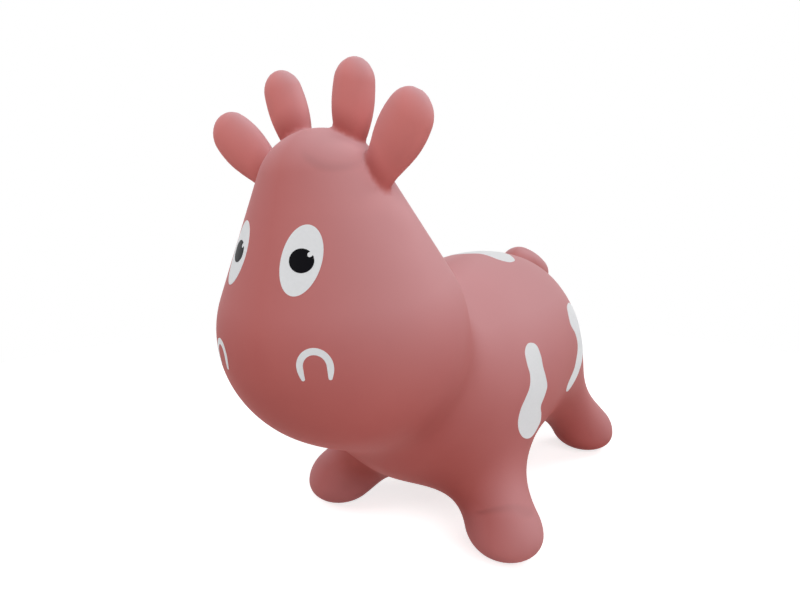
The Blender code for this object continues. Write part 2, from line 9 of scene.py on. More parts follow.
import bmesh
import bpy
import numpy as np
from bpy.props import FloatProperty, FloatVectorProperty, IntProperty, PointerProperty
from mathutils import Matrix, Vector


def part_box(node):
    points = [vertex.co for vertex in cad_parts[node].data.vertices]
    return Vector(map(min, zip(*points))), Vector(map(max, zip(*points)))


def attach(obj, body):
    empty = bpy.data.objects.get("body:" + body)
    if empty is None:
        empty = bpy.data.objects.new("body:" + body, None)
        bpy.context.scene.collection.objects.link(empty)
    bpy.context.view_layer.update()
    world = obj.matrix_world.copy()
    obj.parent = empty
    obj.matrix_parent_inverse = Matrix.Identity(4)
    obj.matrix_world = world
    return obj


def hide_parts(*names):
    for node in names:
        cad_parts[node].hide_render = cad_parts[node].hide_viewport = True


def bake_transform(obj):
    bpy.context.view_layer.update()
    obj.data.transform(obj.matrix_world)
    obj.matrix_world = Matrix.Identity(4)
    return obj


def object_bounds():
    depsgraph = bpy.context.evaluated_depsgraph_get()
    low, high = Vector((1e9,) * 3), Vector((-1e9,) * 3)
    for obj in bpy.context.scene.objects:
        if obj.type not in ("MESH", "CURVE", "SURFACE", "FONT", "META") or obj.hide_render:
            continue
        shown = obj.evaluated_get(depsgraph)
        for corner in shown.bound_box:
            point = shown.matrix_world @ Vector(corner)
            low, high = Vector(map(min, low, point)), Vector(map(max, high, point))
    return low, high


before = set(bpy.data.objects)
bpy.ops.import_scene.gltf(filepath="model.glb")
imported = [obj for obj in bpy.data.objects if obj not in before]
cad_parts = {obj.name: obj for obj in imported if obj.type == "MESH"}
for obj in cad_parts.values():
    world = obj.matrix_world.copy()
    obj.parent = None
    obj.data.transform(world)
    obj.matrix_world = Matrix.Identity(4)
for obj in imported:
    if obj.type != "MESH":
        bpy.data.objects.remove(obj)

bl_info = {
    "name": "Animal hopper",
    "version": (1, 0, 0),
    "blender": (4, 5, 0),
    "location": "3D View > Sidebar > Hopper",
    "description": "Makes the skin, grips, prints, valve and stage of an inflatable calf",
    "category": "Object",
}

CAD_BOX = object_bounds()
SKIN_NODES = (
    "trunk", "head", "front_left_leg", "front_right_leg", "rear_left_leg", "rear_right_leg", "tail",
)
SIDES = ((1, "left"), (-1, "right"))
STATE = {}
# Mesh attribute of fold depth, which sets the painted shade in folds
FOLD = "fold"
# Keeps a slope from being 0
TINY = 1e-9
# Corners of a turned piece that are nearer than this are one
MERGE = 0.00001
# Cells of the grid round the box of the solids
MARGIN_CELLS = 6
# Share of the crown's radius below the ears' roots from which shading is evened out
GRIP_MARGIN = 0.5
# Edges of a film that are sharper than this aren't shaded smooth
SHARP_EDGE = math.radians(40)


# Settings


def linear(code):
    """Linear colour of an sRGB hex value such as #B57174."""
    parts = [int(code[i:i + 2], 16) / 255 for i in (1, 3, 5)]
    return [v / 12.92 if v <= 0.04045 else ((v + 0.055) / 1.055) ** 2.4 for v in parts]


def length(name, default, description):
    return FloatProperty(
        name=name, description=description, default=default, unit="LENGTH", precision=4
    )


def pattern(name, millimetres, description):
    return length(name, millimetres / 1000, description)


def place(name, default, description):
    return FloatVectorProperty(
        name=name, description=description, default=default, size=3, subtype="XYZ", unit="LENGTH",
        precision=4,
    )


def span(name, default, description):
    return FloatVectorProperty(
        name=name, description=description, default=default, size=2, unit="LENGTH", precision=4
    )


def angle(name, degrees, description):
    return FloatProperty(
        name=name, description=description, default=math.radians(degrees), subtype="ANGLE"
    )


def share(name, default, description):
    return FloatProperty(name=name, description=description, default=default, subtype="FACTOR")


def colour(name, code, description):
    return FloatVectorProperty(
        name=name, description=description, default=linear(code), size=3, subtype="COLOR",
        min=0, max=1,
    )


class HopperSkinSettings(bpy.types.PropertyGroup):
    trunk_centre: place("Trunk centre", (0, 0.0438, 0.1659), "Middle of the egg-shaped trunk")
    trunk_half: place("Trunk half sizes", (0.1220, 0.2102, 0.1206), "Half width, length and height")
    trunk_tilt: angle("Trunk tilt", 10.1, "How far the rear end is raised")
    muzzle: place("Muzzle", (0, -0.1950, 0.2382), "Centre of the round muzzle")
    muzzle_radius: length("Muzzle radius", 0.0994, "Radius of the muzzle")
    crown: place("Crown", (0, -0.2178, 0.3526), "Centre of the round crown")
    crown_radius: length("Crown radius", 0.0497, "Radius of the crown")
    head_widen: share("Head widening", 1.11, "Width of the head over its depth")
    front_hip: place("Front hip", (0.0754, -0.0418, 0.0671), "Where the left front leg starts")
    front_hip_radius: length("Front hip radius", 0.0177, "Radius of the leg at its start")
    front_foot: place("Front foot", (0.1061, -0.0733, 0.0226), "Centre of the left front foot")
    front_foot_radius: length("Front foot radius", 0.0365, "Radius of a front foot")
    rear_hip: place("Rear hip", (0.0609, 0.1281, 0.1532), "Where the left rear leg starts")
    rear_hip_radius: length("Rear hip radius", 0.0193, "Radius of the leg at its start")
    rear_foot: place("Rear foot", (0.0990, 0.2384, 0.0252), "Centre of the left rear foot")
    rear_foot_radius: length("Rear foot radius", 0.0398, "Radius of a rear foot")
    tail_root: place("Tail root", (0, 0.2131, 0.2654), "Where the tail leaves the rump")
    tail_tip: place("Tail tip", (0, 0.2731, 0.2474), "Centre of the tail's round end")
    tail_radius: length("Tail radius", 0.0241, "Radius of the tail")
    neck_fillet: length("Neck fillet", 0.080, "Reach of the fillet between head and trunk")
    front_fillet: length("Front leg fillet", 0.0758, "Reach of the fillets round the front legs")
    rear_fillet: length("Rear leg fillet", 0.0828, "Reach of the fillets round the rear legs")
    tail_bulge: length("Tail bulge", 0.003, "How far the tail swells between its ends")
    tail_fillet: length("Tail fillet", 0.012, "Reach of the fillet round the tail")
    sole_fillet: length("Sole fillet", 0.0277, "Reach of the round edge of a sole")
    sole_level: length("Sole level", -0.0022, "Level that the fillet of the soles starts from")
    cell: length("Cell", 0.0035, "Size of the skin's facets")
    parting: length("Parting", 0.012, "Half width over which left and right legs run together")
    fold_reach: length("Fold reach", 0.05, "How far off another wide form still makes a fold")
    even_step: length("Evening step", 0.006, "How far the shading of the wide forms is evened out")
    crease_step: length("Crease step", 0.0004, "The same round the grips")
    vinyl: colour("Vinyl", "#C66A64", "Rose pigment of the skin")
    vinyl_deep: colour("Deep vinyl", "#C36661", "Where the pigment is dense")
    # Painted light: the glow of light through the thin walls of the ears and horns
    vinyl_thin_glow: colour("Thin vinyl", "#E2847F", "Where a thin wall lets light through")
    # Full red painted into folds and creases as shade
    vinyl_fold_shade: colour("Folded vinyl", "#A6534C", "Full red deep in the folds")
    # Pale tone of a dusty film, also standing for painted sheen of the light from above
    dust_and_sheen_tone: colour("Bloom", "#E2AEB2", "Dull film on what looks up")


class HopperSurfaceSettings(bpy.types.PropertyGroup):
    clouds: pattern("Clouds", 55, "Size of the clouds in the pigment")
    swells: pattern("Swells", 30, "Size of the swells that air pressure leaves in the wall")
    swell_depth: length("Swell depth", 0.0012, "Depth of the swells")
    grain: pattern(
        "Grain", 0.9, "Size of the mould's grain, three times the real one so that it shows"
    )
    grain_depth: length("Grain depth", 0.0001, "Depth of the grain and of the drops")
    drops: pattern("Drops", 2.5, "Size of the swells in sprayed ink")
    thin_ink: share("Thin ink", 0.93, "Tone of the ink between its drops over its full tone")
    flow: pattern("Flow", 4, "Size of the milky clouds in the stopper")
    milky: share("Milky clouds", 0.9, "Tone of the stopper's darker clouds over its full tone")
    thin_start: length(
        "Thin start", 0.054, "How far from the crown's centre walls start to get thinner"
    )
    thin_end: length("Thin end", 0.074, "How far from it they are thinnest")
    thin_below: length("Thin below", 0.02, "How far below the crown's centre all walls are full")
    thin_above: length("Thin above", 0.01, "How far above it they may be thinnest")
    brow_crease: place("Brow crease", (0.0137, -0.2243, 0.3650), "Centre of the bow on the brow")
    brow_radius: length("Brow radius", 0.0357, "Radius of the bow on the brow")
    brow_fade: span("Brow fade", (0.374, 0.384), "Heights between which the bow fades out")
    foot_crease: place(
        "Foot crease", (0.1022, -0.0757, 0.0226), "Centre of the crease over the foot"
    )
    foot_radius: length("Foot radius", 0.0395, "Radius of the crease over the foot")
    foot_fade: span(
        "Foot fade", (0.047, 0.051), "Heights between which the crease over the foot comes in"
    )
    crease_half: length("Crease half width", 0.0016, "Half width of a crease")
    crease_depth: length("Crease depth", 0.0006, "Depth of a crease")
    # Painted shade along a crease, as a share of the full red
    crease_shade_share: share("Crease tone", 0.6, "How much of the full red a crease holds")
    # The pale tone follows facing: a dusty film, and painted sheen of the light from above
    dust_sheen_sides: share("Dust on sides", 0.63, "What facing sideways counts over facing up")
    dust_sheen_none: share("No dust", -0.9, "Facing that holds no dust")
    dust_sheen_full: share("Full dust", 1.09, "Facing that holds all of it")
    dust_sheen_power: FloatProperty(
        name="Dust power", description="How fast dust gets less away from what faces up", default=3
    )
    # Heights where the pale tone and its painted sheen are less
    dust_sheen_dip_height: length("Clean height", 0.09, "Height that knees rub clean")
    dust_sheen_dip_reach: length("Clean reach", 0.34, "How far off that height no dust is rubbed off")
    dust_sheen_dip_share: share("Clean share", 0.53, "What is left of the dust at that height")
    # Paler low on the front feet: partly a dusty film, partly painted light, with the rear feet left
    # darker as in shade
    floor_dust_and_light: share("Floor dust", 0.3, "Dust that the front feet pick up from the floor")
    floor_reach: length("Floor reach", 0.05, "Height up to which they do")
    front_end: length("Front end", 0.05, "How far back a foot counts as a front one")
    rear_start: length("Rear start", 0.15, "From where it counts as a rear one")


class HopperGripSettings(bpy.types.PropertyGroup):
    ear_root: place("Ear root", (0.0544, -0.2180, 0.3668), "Centre of the left ear's root")
    ear_tip: place("Ear tip", (0.0905, -0.2303, 0.4044), "Centre of the left ear's round end")
    ear_root_radius: length("Ear root radius", 0.0149, "Half width of an ear at its root")
    ear_tip_radius: length("Ear tip radius", 0.0141, "Half width of an ear at its end")
    ear_bulge: length("Ear bulge", 0.0066, "How far an ear swells between root and end")
    ear_bulge_shift: length(
        "Ear bulge shift", 0.0127, "How far the widest place is past the middle"
    )
    ear_flatness: share("Ear flatness", 0.62, "Thickness of an ear over its width")
    ear_seam: length("Ear seam", 0.011, "Height of the seam above the root")
    horn_root: place("Horn root", (0.0281, -0.2168, 0.3985), "Centre of the left horn's root")
    horn_tip: place("Horn tip", (0.0363, -0.2225, 0.4342), "Centre of the left horn's round end")
    horn_root_radius: length("Horn root radius", 0.0126, "Half width of a horn at its root")
    horn_tip_radius: length("Horn tip radius", 0.0151, "Half width of a horn at its end")
    horn_bulge: length("Horn bulge", 0.0034, "How far a horn swells between root and end")
    horn_bulge_shift: length(
        "Horn bulge shift", -0.0014, "How far the widest place is past the middle"
    )
    horn_flatness: share("Horn flatness", 0.8, "Thickness of a horn over its width")
    horn_seam: length("Horn seam", 0.010, "Height of the seam above the root")
    fillet: length("Grip fillet", 0.0045, "Reach of the fillets round the ears and horns")
    bend_start: length("Bend start", 0.0005, "Where the bend starts, above the seam")
    bend_length: length("Bend length", 0.026, "Length over which a grip bends")
    room: length("Room", 0.024, "Radius round a grip's axis that belongs to it")


class HopperPrintSettings(bpy.types.PropertyGroup):
    left_eye: place("Left eye", (0.0285, -0.2766, 0.3037), "Middle of the left eye on the face")
    right_eye: place("Right eye", (-0.0402, -0.2711, 0.3064), "Middle of the right eye on the face")
    left_eye_lean: angle("Left eye lean", 10.8, "Lean of the left eye's top to the calf's left")
    right_eye_lean: angle("Right eye lean", 9.7, "Lean of the right eye's top to the calf's left")
    eye_half_width: length("Eye half width", 0.0156, "Half width of the white of an eye")
    eye_half_height: length("Eye half height", 0.0258, "Half height of the white of an eye")
    left_pupil: place(
        "Left pupil", (0.0292, -0.2763, 0.3033), "Middle of the left pupil on the face"
    )
    right_pupil: place(
        "Right pupil", (-0.0392, -0.2717, 0.3077), "Middle of the right pupil on the face"
    )
    pupil_half_width: length("Pupil half width", 0.0095, "Half width of a pupil")
    pupil_half_height: length("Pupil half height", 0.0087, "Half height of a pupil")
    glint_radius: length("Glint radius", 0.0019, "Radius of the white dot in a pupil")
    glint_side: length(
        "Glint side", 0.0050, "How far the dot is to the calf's left of the pupil's middle"
    )
    glint_up: length("Glint height", 0.0056, "How far the dot is above the pupil's middle")
    left_nostril: place(
        "Left nostril", (0.0467, -0.2850, 0.2316), "Middle of the left nostril's bow"
    )
    right_nostril: place(
        "Right nostril", (-0.0525, -0.2818, 0.2263), "Middle of the right nostril's bow"
    )
    nostril_lean: angle("Nostril lean", 5.5, "Lean of the left nostril's top to the calf's right")
    nostril_radius: length("Nostril radius", 0.0111, "Radius of a nostril's bow")
    nostril_drop: length("Nostril drop", 0.0085, "Length of a nostril's ends below its bow")
    nostril_bend: length("Nostril bend", 0.0011, "How far a nostril's ends turn in")
    nostril_stroke: length("Nostril stroke", 0.0049, "Width of a nostril's line")
    nostril_taper: share("Nostril taper", 0.4, "How much narrower the line is at its ends")
    flank: place("Flank patch", (0.1132, -0.0336, 0.1611), "Middle of the left flank patch")
    rump: place("Rump patch", (0.1195, 0.1088, 0.1840), "Middle of the left rump patch")
    saddle: place("Saddle patch", (0.0040, 0.0658, 0.2897), "Middle of the patch on the back")
    film: length("Film", 0.0002, "Height of a film of ink above what it lies on")
    step: length("Step", 0.0014, "Size of a film's facets")
    fine_step: length("Fine step", 0.0006, "The same for the pupils and nostrils")
    white: colour("White ink", "#F7F8FA", "Ink of the eyes, nostrils and patches")
    black: colour("Black ink", "#0B0A0F", "Ink of the pupils")


class HopperValveSettings(bpy.types.PropertyGroup):
    ring_radius: length("Ring radius", 0.0085, "Outer radius of the valve's neck")
    bore: length("Bore", 0.0045, "Radius of the valve's bore")
    hole_gap: length("Hole gap", 0.0001, "Gap between the skin and the valve's neck")
    shank_gap: length("Shank gap", 0.0007, "Gap between the stopper's shank and the bore")
    rib_gap: length("Rib gap", 0.00025, "Gap between the stopper's ribs and the bore")
    cap_height: length("Cap height", 0.0022, "Thickness of the stopper's cap")
    rib_pitch: length("Rib pitch", 0.0042, "Distance from rib to rib")
    rib_half: length("Rib half height", 0.0008, "Half the height of a rib")
    ribs: IntProperty(name="Ribs", description="Ribs on the stopper's shank", default=2)
    flange: length("Flange", 0.0016, "Thickness of the valve's flange")
    edge: length("Edge", 0.0005, "Width of the rounded edges")
    steps: IntProperty(name="Steps", description="Facets round the turned pieces", default=72)
    clear: colour("Clear vinyl", "#C98F8C", "Vinyl of the valve, which has little pigment")
    plug: colour("Plug", "#E6E3DE", "Polyethylene of the stopper")


class HopperStageSettings(bpy.types.PropertyGroup):
    camera: place("Camera", (0.2984, -0.5676, 0.3340), "Where the photograph was taken from")
    azimuth: angle("Azimuth", 32.80, "Turn of the view from +Y")
    pitch: angle("Pitch", 8.47, "How far the view looks down")
    focal: FloatProperty(name="Focal length", description="In pixels of the frame", default=561.8)
    frame_width: FloatProperty(name="Frame width", description="In pixels", default=800)
    floor_radius: length("Floor radius", 1.15, "Radius of the round floor")
    floor_steps: IntProperty(
        name="Floor steps", description="Corners of the round floor", default=96
    )
    aim: place("Aim", (0, -0.05, 0.25), "What the lamps point at")
    lamp_size: length("Lamp size", 1.0, "Diameter of each soft lamp")
    top: share("Top light", 0.13, "Light of the top lamp on a white sheet that faces it")
    near_side: share("Near side light", 0.42, "Light of the lamp at the calf's front left")
    rear: share("Rear light", 0.30, "Light of the lamp at the calf's rear left")
    far_side: share("Far side light", 0.335, "Light of the lamp at the calf's front right")
    sky: share("Sky", 0.15, "Strength of the even light from all round")
    floor_glow: share("Floor glow", 0.72, "What brings the floor up to white")
    floor: colour("Floor", "#E4E4E4", "Pale grey floor, which the view shows as white")


# Form of the calf, as the distance from its surface, which is negative inside


def smooth_least(a, b, reach):
    """The lesser of two distances, with the crease between them filled over a reach."""
    part = np.clip(0.5 + 0.5 * (b - a) / reach, 0, 1)
    return b + (a - b) * part - reach * part * (1 - part)


def egg(points, centre, half, tilt):
    across, along, up = (points - centre).T
    turned = np.stack(
        [
            across,
            math.cos(tilt) * along + math.sin(tilt) * up,
            math.cos(tilt) * up - math.sin(tilt) * along,
        ],
        1,
    )
    near = np.linalg.norm(turned / half, axis=1)
    slope = np.linalg.norm(turned / half**2, axis=1)
    return near * (near - 1) / np.maximum(slope, TINY)


def club(points, start, end, start_radius, end_radius):
    """Two balls with a straight flank between them."""
    reach = np.linalg.norm(end - start)
    axis = (end - start) / reach
    along = (points - start) @ axis
    off = np.linalg.norm(points - start - along[:, None] * axis, axis=1)
    sine = (start_radius - end_radius) / reach
    cosine = math.sqrt(1 - sine**2)
    level = cosine * along - sine * off
    flank = cosine * off + sine * along - start_radius
    near = np.hypot(off, along) - start_radius
    far = np.hypot(off, along - reach) - end_radius
    return np.where(level < 0, near, np.where(level > cosine * reach, far, flank))


def pod(points, root, tip, root_radius, tip_radius, bulge, shift, flatness):
    """Club that swells between its ends and is flattened from front to back."""
    reach = np.linalg.norm(tip - root)
    axis = (tip - root) / reach
    thin = np.array((0, -1, 0)) + axis[1] * axis
    thin /= np.linalg.norm(thin)
    off = (points - root) @ thin
    widened = points + (off * (1 / flatness - 1))[:, None] * thin
    half = (reach + root_radius + tip_radius) / 2
    part = np.clip(((points - root) @ axis - reach / 2 - shift) / half, -1, 1)
    value = club(widened, root, tip, root_radius, tip_radius) - bulge * (1 - part**2) ** 2
    return value * (1 + flatness) / 2


class Calf:
    """The whole form, with the sizes of the settings."""

    def __init__(self, scene):
        self.skin = scene.hopper_skin
        self.grips = scene.hopper_grips

    def body(self, points):
        s = self.skin
        one_side = points.copy()
        one_side[:, 0] = np.hypot(points[:, 0], s.parting)
        value = egg(points, np.array(s.trunk_centre), np.array(s.trunk_half), s.trunk_tilt)
        narrowed = points / (s.head_widen, 1, 1)
        head = club(
            narrowed, np.array(s.muzzle), np.array(s.crown), s.muzzle_radius, s.crown_radius
        )
        value = smooth_least(value, head, s.neck_fillet)
        for hip, foot, hip_radius, foot_radius, fillet in (
            (s.front_hip, s.front_foot, s.front_hip_radius, s.front_foot_radius, s.front_fillet),
            (s.rear_hip, s.rear_foot, s.rear_hip_radius, s.rear_foot_radius, s.rear_fillet),
        ):
            leg = club(one_side, np.array(hip), np.array(foot), hip_radius, foot_radius)
            value = smooth_least(value, leg, fillet)
        return -smooth_least(-value, points[:, 2] - s.sole_level, s.sole_fillet)

    def grip(self, kind, mirrored):
        names = ("root", "tip", "root_radius", "tip_radius", "bulge", "bulge_shift", "flatness")
        root, tip, *sizes = (getattr(self.grips, f"{kind}_{name}") for name in names)
        return pod(mirrored, np.array(root), np.array(tip), *sizes)

    def distance(self, points):
        mirrored = points.copy()
        mirrored[:, 0] = np.abs(points[:, 0])
        value = self.body(points)
        for kind in ("ear", "horn"):
            value = smooth_least(value, self.grip(kind, mirrored), self.grips.fillet)
        s = self.skin
        tail = pod(
            points, np.array(s.tail_root), np.array(s.tail_tip), s.tail_radius, s.tail_radius,
            s.tail_bulge, 0, 1,
        )
        return smooth_least(value, tail, s.tail_fillet)

    def normals(self, points, step=0.0002):
        """Directions out of the form, each taken over a step or an array of steps."""
        reach = np.broadcast_to(step, len(points))[:, None]
        slope = np.stack(
            [
                self.distance(points + reach * axis) - self.distance(points - reach * axis)
                for axis in np.eye(3)
            ],
            1,
        )
        return slope / np.linalg.norm(slope, axis=1)[:, None]

    def off_grips(self, points):
        """0 round the ears and horns, rising to 1 on the wide forms below them."""
        drop = (self.grips.ear_root[2] - points[:, 2]) / self.skin.crown_radius
        return np.clip(drop - GRIP_MARGIN, 0, 1)

    def soft_normals(self, points):
        """Directions for shading, evened out over the wide forms and sharp round the grips."""
        s = self.skin
        return self.normals(
            points, s.crease_step + self.off_grips(points) * (s.even_step - s.crease_step)
        )

    def folded(self, points, normals):
        """Depth in a fold, for the painted shade there: 0 where bare or looking up, and 1 between
        forms that touch.
        """
        reach = self.skin.fold_reach
        depth = np.clip(1 - self.distance(points + reach * normals) / reach, 0, 1)
        return depth * self.off_grips(points) * (1 - np.clip(normals[:, 2], 0, 1))

    def onto(self, points, passes=4):
        """The points moved along the form's slope onto its surface."""
        for _ in range(passes):
            points = points - self.distance(points)[:, None] * self.normals(points)
        return points

    def along(self, points, direction, passes=60):
        """The points moved along one direction until they meet the surface."""
        for _ in range(passes):
            points = points + self.distance(points)[:, None] * direction
        return points


# Meshes


def shell(distance, low, high, cell):
    """Points and triangles of the surface where the distance is 0, one point to a grid cell."""
    steps = [np.arange(low[i], high[i] + cell, cell) for i in range(3)]
    grid = np.stack(np.meshgrid(*steps, indexing="ij"), -1)
    value = distance(grid.reshape(-1, 3)).reshape(grid.shape[:3])
    cells = tuple(count - 1 for count in value.shape)
    total = np.zeros((math.prod(cells), 3))
    count = np.zeros(math.prod(cells))
    squares = []
    for axis in range(3):
        second, third = (axis + 1) % 3, (axis + 2) % 3
        before = np.delete(value, -1, axis)
        after = np.delete(value, 0, axis)
        edges = np.argwhere((before < 0) != (after < 0))
        start, end = before[tuple(edges.T)], after[tuple(edges.T)]
        spot = np.array(low) + edges * cell
        spot[:, axis] += cell * start / (start - end)
        ring = []
        for back, down in ((0, 0), (1, 0), (1, 1), (0, 1)):
            owner = edges.copy()
            owner[:, second] -= back
            owner[:, third] -= down
            flat = np.ravel_multi_index(owner.T, cells)
            np.add.at(total, flat, spot)
            np.add.at(count, flat, 1)
            ring.append(flat)
        ring = np.stack(ring, 1)
        ring[start > 0] = ring[start > 0][:, ::-1]
        squares.append(ring)
    used = np.flatnonzero(count)
    number = np.zeros(len(count), int)
    number[used] = np.arange(len(used))
    squares = number[np.concatenate(squares)]
    points = total[used] / count[used][:, None]
    corners = points[squares]
    longer = (
        np.linalg.norm(corners[:, 0] - corners[:, 2], axis=1)
        > np.linalg.norm(corners[:, 1] - corners[:, 3], axis=1)
    )
    squares[longer] = np.roll(squares[longer], 1, axis=1)
    return points, np.concatenate([squares[:, [0, 1, 2]], squares[:, [0, 2, 3]]])


def trim(points, faces, value):
    """The part of a triangle mesh where a value at its points is above 0, cut across its edges."""
    inside = value > 0
    count = inside[faces].sum(1)
    crossed = faces[(count == 1) | (count == 2)]
    flags = inside[crossed]
    lone = flags.sum(1) == 1
    odd = np.argmax(flags == lone[:, None], axis=1)
    a, b, c = (crossed[np.arange(len(crossed)), (odd + i) % 3] for i in range(3))
    pairs = np.sort(np.concatenate([np.stack([a, b], 1), np.stack([a, c], 1)]), axis=1)
    pairs, number = np.unique(pairs, axis=0, return_inverse=True)
    number = number.reshape(-1) + len(points)
    first, last = value[pairs[:, 0]], value[pairs[:, 1]]
    part = (first / (first - last))[:, None]
    added = points[pairs[:, 0]] * (1 - part) + points[pairs[:, 1]] * part
    ab, ac = number[:len(a)], number[len(a):]
    faces = np.concatenate(
        [
            faces[count == 3],
            np.stack([a, ab, ac], 1)[lone],
            np.stack([ab, b, c], 1)[~lone],
            np.stack([ab, c, ac], 1)[~lone],
        ]
    )
    used, faces = np.unique(faces, return_inverse=True)
    return np.concatenate([points, added])[used], faces.reshape(-1, 3)


def sheet_solid(points, faces, normals, above, below):
    """A thin closed solid over a sheet, from below it to above it."""
    count = len(points)
    edges = np.concatenate([faces[:, [0, 1]], faces[:, [1, 2]], faces[:, [2, 0]]])
    directed = {tuple(edge) for edge in edges}
    rim = np.array([edge for edge in edges if (edge[1], edge[0]) not in directed])
    start, end = rim.T
    sides = np.concatenate(
        [np.stack([start, start + count, end + count], 1), np.stack([start, end + count, end], 1)]
    )
    points = np.concatenate([points + above * normals, points - below * normals])
    return points, np.concatenate([faces, faces[:, ::-1] + count, sides])


def put(name, data):
    """New object in the scene."""
    obj = bpy.data.objects.new(name, data)
    bpy.context.scene.collection.objects.link(obj)
    return obj


def new_piece(name, points, faces, finish, calf=None):
    """Mesh of points and triangles, shaded, and on the calf's skin marked with the depth of its folds
    for painted shade.
    """
    mesh = bpy.data.meshes.new(name)
    mesh.from_pydata(points.tolist(), [], faces.tolist())
    mesh.shade_smooth()
    mesh.materials.append(finish)
    if calf:
        normals = calf.soft_normals(points)
        mesh.normals_split_custom_set_from_vertices(normals.tolist())
        folds = mesh.attributes.new(FOLD, "FLOAT", "POINT")
        folds.data.foreach_set("value", calf.folded(points, normals))
    return put(name, mesh)


def turned_piece(name, profile, centre, steps, edge, finish):
    """Solid turned about Z from a closed profile of (radius, height), with rounded edges."""
    shape = bmesh.new()
    corners = [shape.verts.new((radius, 0, height)) for radius, height in profile]
    lines = [shape.edges.new((corners[i - 1], corners[i])) for i in range(len(corners))]
    bmesh.ops.spin(
        shape, geom=corners + lines, cent=(0, 0, 0), axis=(0, 0, 1), angle=2 * math.pi, steps=steps
    )
    bmesh.ops.remove_doubles(shape, verts=shape.verts, dist=MERGE)
    bmesh.ops.dissolve_degenerate(shape, edges=shape.edges, dist=MERGE)
    loose = [line for line in shape.edges if not line.link_faces]
    bmesh.ops.delete(shape, geom=loose, context="EDGES")
    bmesh.ops.recalc_face_normals(shape, faces=shape.faces)
    bmesh.ops.translate(shape, verts=shape.verts, vec=centre)
    mesh = bpy.data.meshes.new(name)
    shape.to_mesh(mesh)
    shape.free()
    mesh.materials.append(finish)
    mesh.shade_smooth()
    obj = put(name, mesh)
    bevel = obj.modifiers.new("Rounded edges", "BEVEL")
    bevel.width = edge
    bevel.segments = 2
    bevel.limit_method = "ANGLE"
    bevel.harden_normals = True
    return obj


# Materials


def fill(tree, node, inputs):
    """Set each input of a node to a value, or link it to another node's output."""
    for socket, value in inputs.items():
        if isinstance(value, bpy.types.NodeSocket):
            tree.links.new(value, node.inputs[socket])
        else:
            node.inputs[socket].default_value = value


def add_node(tree, kind, inputs, **settings):
    """Outputs of a new node, after its settings are made and its inputs are filled."""
    made = tree.nodes.new(f"ShaderNode{kind}")
    for name, value in settings.items():
        setattr(made, name, value)
    fill(tree, made, inputs)
    return made.outputs


def new_material(name):
    made = bpy.data.materials.new(name)
    made.use_nodes = True
    tree = made.node_tree
    coordinates = add_node(tree, "TexCoord", {})["Object"]
    return made, tree, tree.nodes["Principled BSDF"], coordinates


def crease(tree, coordinates, centre, radius, half):
    """1 on the line where the skin lies at a radius round a point, and 0 from half its width off."""
    away = add_node(tree, "VectorMath", {0: coordinates, 1: centre}, operation="DISTANCE")
    off = add_node(tree, "Math", {0: away["Value"], 1: radius}, operation="SUBTRACT")
    off = add_node(tree, "Math", {0: off["Value"]}, operation="ABSOLUTE")
    line = add_node(
        tree, "MapRange", {"Value": off["Value"], "From Max": half, "To Min": 1, "To Max": 0},
        interpolation_type="SMOOTHSTEP",
    )
    return line["Result"]


def skin_creases(tree, coordinates, height, w):
    """Two creases the skin keeps from its box: a bow on the brow and one over the left front foot."""
    brow = crease(tree, coordinates, w.brow_crease, w.brow_radius, w.crease_half)
    start, end = w.brow_fade
    under = add_node(
        tree, "MapRange",
        {"Value": height, "From Min": start, "From Max": end, "To Min": 1, "To Max": 0},
    )
    foot = crease(tree, coordinates, w.foot_crease, w.foot_radius, w.crease_half)
    start, end = w.foot_fade
    over = add_node(tree, "MapRange", {"Value": height, "From Min": start, "From Max": end})
    foot = add_node(tree, "Math", {0: foot, 1: over["Result"]}, operation="MULTIPLY")
    both = add_node(
        tree, "Math", {0: brow, 1: under["Result"], 2: foot["Value"]}, operation="MULTIPLY_ADD"
    )
    return both["Value"]


def dust_and_sheen(tree, axes, folds, w):
    """How much of the vinyl a pale dusty film covers, with painted sheen of the light from above."""
    # Paler most of all on what looks up, and some on the flanks: plasticiser that holds a dusty film,
    # and painted sheen where the light from above falls.
    facing = add_node(tree, "NewGeometry", {})["Normal"]
    facing = add_node(tree, "SeparateXYZ", {"Vector": facing})
    side = add_node(tree, "Math", {0: facing["X"]}, operation="ABSOLUTE")
    outward = add_node(
        tree, "Math", {0: side["Value"], 1: w.dust_sheen_sides, 2: facing["Z"]}, operation="MULTIPLY_ADD"
    )
    film = add_node(
        tree, "MapRange",
        {"Value": outward["Value"], "From Min": w.dust_sheen_none, "From Max": w.dust_sheen_full},
    )
    film = add_node(tree, "Math", {0: film["Result"], 1: w.dust_sheen_power}, operation="POWER")
    # Less of the pale tone at the middle height than on the feet, the back and the head.
    apart = add_node(tree, "Math", {0: axes["Z"], 1: w.dust_sheen_dip_height}, operation="SUBTRACT")
    apart = add_node(tree, "Math", {0: apart["Value"]}, operation="ABSOLUTE")
    kept = add_node(
        tree, "MapRange",
        {"Value": apart["Value"], "From Max": w.dust_sheen_dip_reach, "To Min": w.dust_sheen_dip_share},
    )
    film = add_node(tree, "Math", {0: film["Value"], 1: kept["Result"]}, operation="MULTIPLY")
    bare = add_node(tree, "Math", {0: 1, 1: folds}, operation="SUBTRACT")
    film = add_node(tree, "Math", {0: film["Value"], 1: bare["Value"]}, operation="MULTIPLY")
    # The front feet are painted paler near the floor, partly a dusty film from the floor and partly
    # painted light; the rear feet are left darker, as in shade.
    low = add_node(
        tree, "MapRange",
        {"Value": axes["Z"], "From Max": w.floor_reach, "To Min": w.floor_dust_and_light, "To Max": 0},
    )
    front = add_node(
        tree, "MapRange",
        {
            "Value": axes["Y"], "From Min": w.front_end, "From Max": w.rear_start,
            "To Min": 1, "To Max": 0,
        },
    )
    film = add_node(
        tree, "Math", {0: low["Result"], 1: front["Result"], 2: film["Value"]},
        operation="MULTIPLY_ADD", use_clamp=True,
    )
    return film["Value"]


